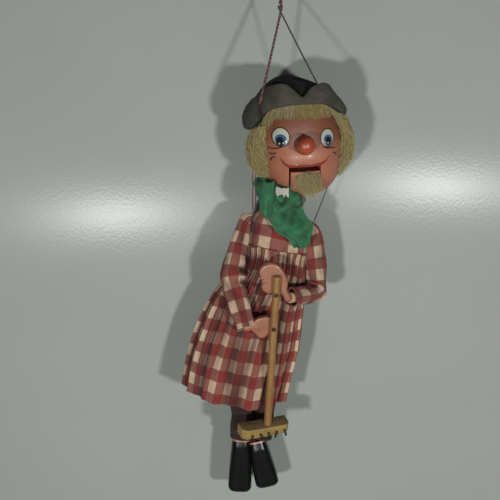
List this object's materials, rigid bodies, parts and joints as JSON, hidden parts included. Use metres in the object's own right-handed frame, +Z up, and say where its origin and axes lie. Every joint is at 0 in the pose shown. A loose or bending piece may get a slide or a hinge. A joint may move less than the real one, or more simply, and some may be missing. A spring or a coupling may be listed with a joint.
{
  "type": "marionette",
  "caption": "Hanging wooden string puppet of a straw-haired farm hand in a felt hat and checked smock, holding a rake, with jointed jaw, neck, arms and legs.",
  "frame": {"origin": "bight of the hanging loop, where the string bears on whatever holds the puppet up", "axes": "+Z up along the strings, the puppet faces -Y, +X is the viewer's right"},
  "size_m": [0.1375, 0.0893, 0.4284],
  "materials": {
    "flesh_paint": "gloss paint",
    "nose_paint": "gloss paint",
    "bare_wood": "bare",
    "yellow_pine": "clear varnish",
    "steel_wire": "plain",
    "dark_nails": "tarnished",
    "string": "waxed twine",
    "grey_felt": "felt",
    "straw_mohair": "brushed mohair",
    "red_gingham": "woven check cotton",
    "green_scarf": "thin woven cotton",
    "white_cotton": "woven cotton",
    "brown_trousers": "felted cloth",
    "black_gloss": "gloss paint"
  },
  "bodies": {
    "hanger": {"hanging_loop": "string"},
    "strings": {"twisted_strings": "string", "head_string_left": "string", "head_string_right": "string"},
    "head": {"head": "flesh_paint", "jaw_pin": "steel_wire", "nose": "nose_paint", "hair": "straw_mohair", "hat": "grey_felt", "head_eye_left": "steel_wire", "head_eye_right": "steel_wire"},
    "jaw": {"jaw": "flesh_paint", "beard": "straw_mohair"},
    "torso": {"torso_block": "bare_wood", "neck_cord": "white_cotton", "smock": "red_gingham", "shoulder_cord": "string", "hip_wire": "steel_wire", "scarf": "green_scarf", "shoulder_string_left": "string", "shoulder_string_right_front": "string", "shoulder_string_right_rear": "string"},
    "upper_arm_right": {"upper_arm_right": "bare_wood", "sleeve_upper_right": "red_gingham", "elbow_pin_right": "steel_wire"},
    "forearm_right": {"forearm_right": "bare_wood", "sleeve_lower_right": "red_gingham"},
    "hand_right": {"hand_right": "flesh_paint", "wrist_ring_right": "steel_wire"},
    "thigh_right": {"thigh_right": "bare_wood", "trouser_upper_right": "brown_trousers", "knee_pin_right": "steel_wire"},
    "shin_right": {"shin_right": "flesh_paint", "trouser_lower_right": "brown_trousers", "ankle_pin_right": "steel_wire"},
    "boot_right": {"boot_right": "black_gloss"},
    "upper_arm_left": {"upper_arm_left": "bare_wood", "sleeve_upper_left": "red_gingham", "elbow_pin_left": "steel_wire"},
    "forearm_left": {"forearm_left": "bare_wood", "sleeve_lower_left": "red_gingham"},
    "hand_left": {"hand_left": "flesh_paint", "wrist_ring_left": "steel_wire", "rake_handle": "yellow_pine", "rake_head": "yellow_pine", "rake_nail_lower": "dark_nails", "rake_nail_upper": "dark_nails", "rake_tine_1": "dark_nails", "rake_tine_2": "dark_nails", "rake_tine_3": "dark_nails", "rake_tine_4": "dark_nails", "rake_tine_5": "dark_nails"},
    "thigh_left": {"thigh_left": "bare_wood", "trouser_upper_left": "brown_trousers", "knee_pin_left": "steel_wire"},
    "shin_left": {"shin_left": "flesh_paint", "trouser_lower_left": "brown_trousers", "ankle_pin_left": "steel_wire"},
    "boot_left": {"boot_left": "black_gloss"}
  },
  "joints": [
    {"name": "sway", "type": "hinge", "parent": "hanger", "child": "strings", "pos_m": [0, 0, 0], "axis": [0, 1, 0], "range_deg": [-20, 20]},
    {"name": "head_nod", "type": "hinge", "parent": "strings", "child": "head", "pos_m": [-0.0167, 0.001, -0.0998], "axis": [0.9999, 0, 0.0149], "range_deg": [-12, 12], "deforming": ["head_string_left", "head_string_right"]},
    {"name": "jaw_open", "type": "hinge", "parent": "head", "child": "jaw", "pos_m": [0.01725, -0.01075, -0.15231], "axis": [0.9921, 0.1043, 0.0698], "range_deg": [-7, 0]},
    {"name": "neck_swing", "type": "hinge", "parent": "head", "child": "torso", "pos_m": [0.01963, 0.00254, -0.17024], "axis": [1, 0, 0], "range_deg": [-12, 12], "deforming": ["scarf", "shoulder_string_left", "shoulder_string_right_front", "shoulder_string_right_rear"]},
    {"name": "shoulder_right", "type": "hinge", "parent": "torso", "child": "upper_arm_right", "pos_m": [-0.02686, 0.003, -0.1896], "axis": [-0.9816, 0, 0.1908], "range_deg": [0, 50], "deforming": ["sleeve_upper_right"]},
    {"name": "shoulder_left", "type": "hinge", "parent": "torso", "child": "upper_arm_left", "pos_m": [0.02811, 0.003, -0.20028], "axis": [-0.9816, 0, 0.1908], "range_deg": [0, 50], "deforming": ["sleeve_upper_left"]},
    {"name": "elbow_right", "type": "hinge", "parent": "upper_arm_right", "child": "forearm_right", "pos_m": [-0.03725, -0.01603, -0.23321], "axis": [-0.9696, -0.1433, 0.1984], "range_deg": [0, 40], "deforming": ["sleeve_lower_right"]},
    {"name": "elbow_left", "type": "hinge", "parent": "upper_arm_left", "child": "forearm_left", "pos_m": [0.03429, -0.00546, -0.24785], "axis": [-0.9696, -0.1433, 0.1984], "range_deg": [0, 40], "deforming": ["sleeve_lower_left"]},
    {"name": "wrist_right", "type": "hinge", "parent": "forearm_right", "child": "hand_right", "pos_m": [-0.02612, -0.03271, -0.26881], "axis": [-0.7975, 0.0783, -0.5982], "range_deg": [0, 18]},
    {"name": "wrist_left", "type": "hinge", "parent": "forearm_left", "child": "hand_left", "pos_m": [0.00615, -0.03587, -0.2446], "axis": [-0.7975, 0.0783, -0.5982], "range_deg": [0, 18]},
    {"name": "hip_right", "type": "hinge", "parent": "torso", "child": "thigh_right", "pos_m": [-0.02463, 0.003, -0.2751], "axis": [-0.9816, 0, 0.1908], "range_deg": [-14, 9], "deforming": ["trouser_upper_right", "smock"]},
    {"name": "knee_right", "type": "hinge", "parent": "thigh_right", "child": "shin_right", "pos_m": [-0.02712, 0.003, -0.33454], "axis": [0.9991, 0, -0.0419], "range_deg": [0, 50], "deforming": ["trouser_lower_right"]},
    {"name": "ankle_right", "type": "hinge", "parent": "shin_right", "child": "boot_right", "pos_m": [-0.02915, 0.003, -0.383], "axis": [-0.9991, 0, 0.0419], "range_deg": [-20, 30]},
    {"name": "hip_left", "type": "hinge", "parent": "torso", "child": "thigh_left", "pos_m": [-0.00598, 0.003, -0.27872], "axis": [-0.9816, 0, 0.1908], "range_deg": [-14, 9], "deforming": ["trouser_upper_left"]},
    {"name": "knee_left", "type": "hinge", "parent": "thigh_left", "child": "shin_left", "pos_m": [-0.01054, 0.003, -0.33805], "axis": [0.9971, 0, -0.0767], "range_deg": [0, 50], "deforming": ["trouser_lower_left"]},
    {"name": "ankle_left", "type": "hinge", "parent": "shin_left", "child": "boot_left", "pos_m": [-0.01426, 0.003, -0.3864], "axis": [-0.9971, 0, 0.0767], "range_deg": [-20, 30]}
  ],
  "couplings": [
    {"joint": "shoulder_left", "follows": "shoulder_right", "ratio": 1},
    {"joint": "elbow_left", "follows": "elbow_right", "ratio": 1},
    {"joint": "wrist_left", "follows": "wrist_right", "ratio": 1}
  ]
}
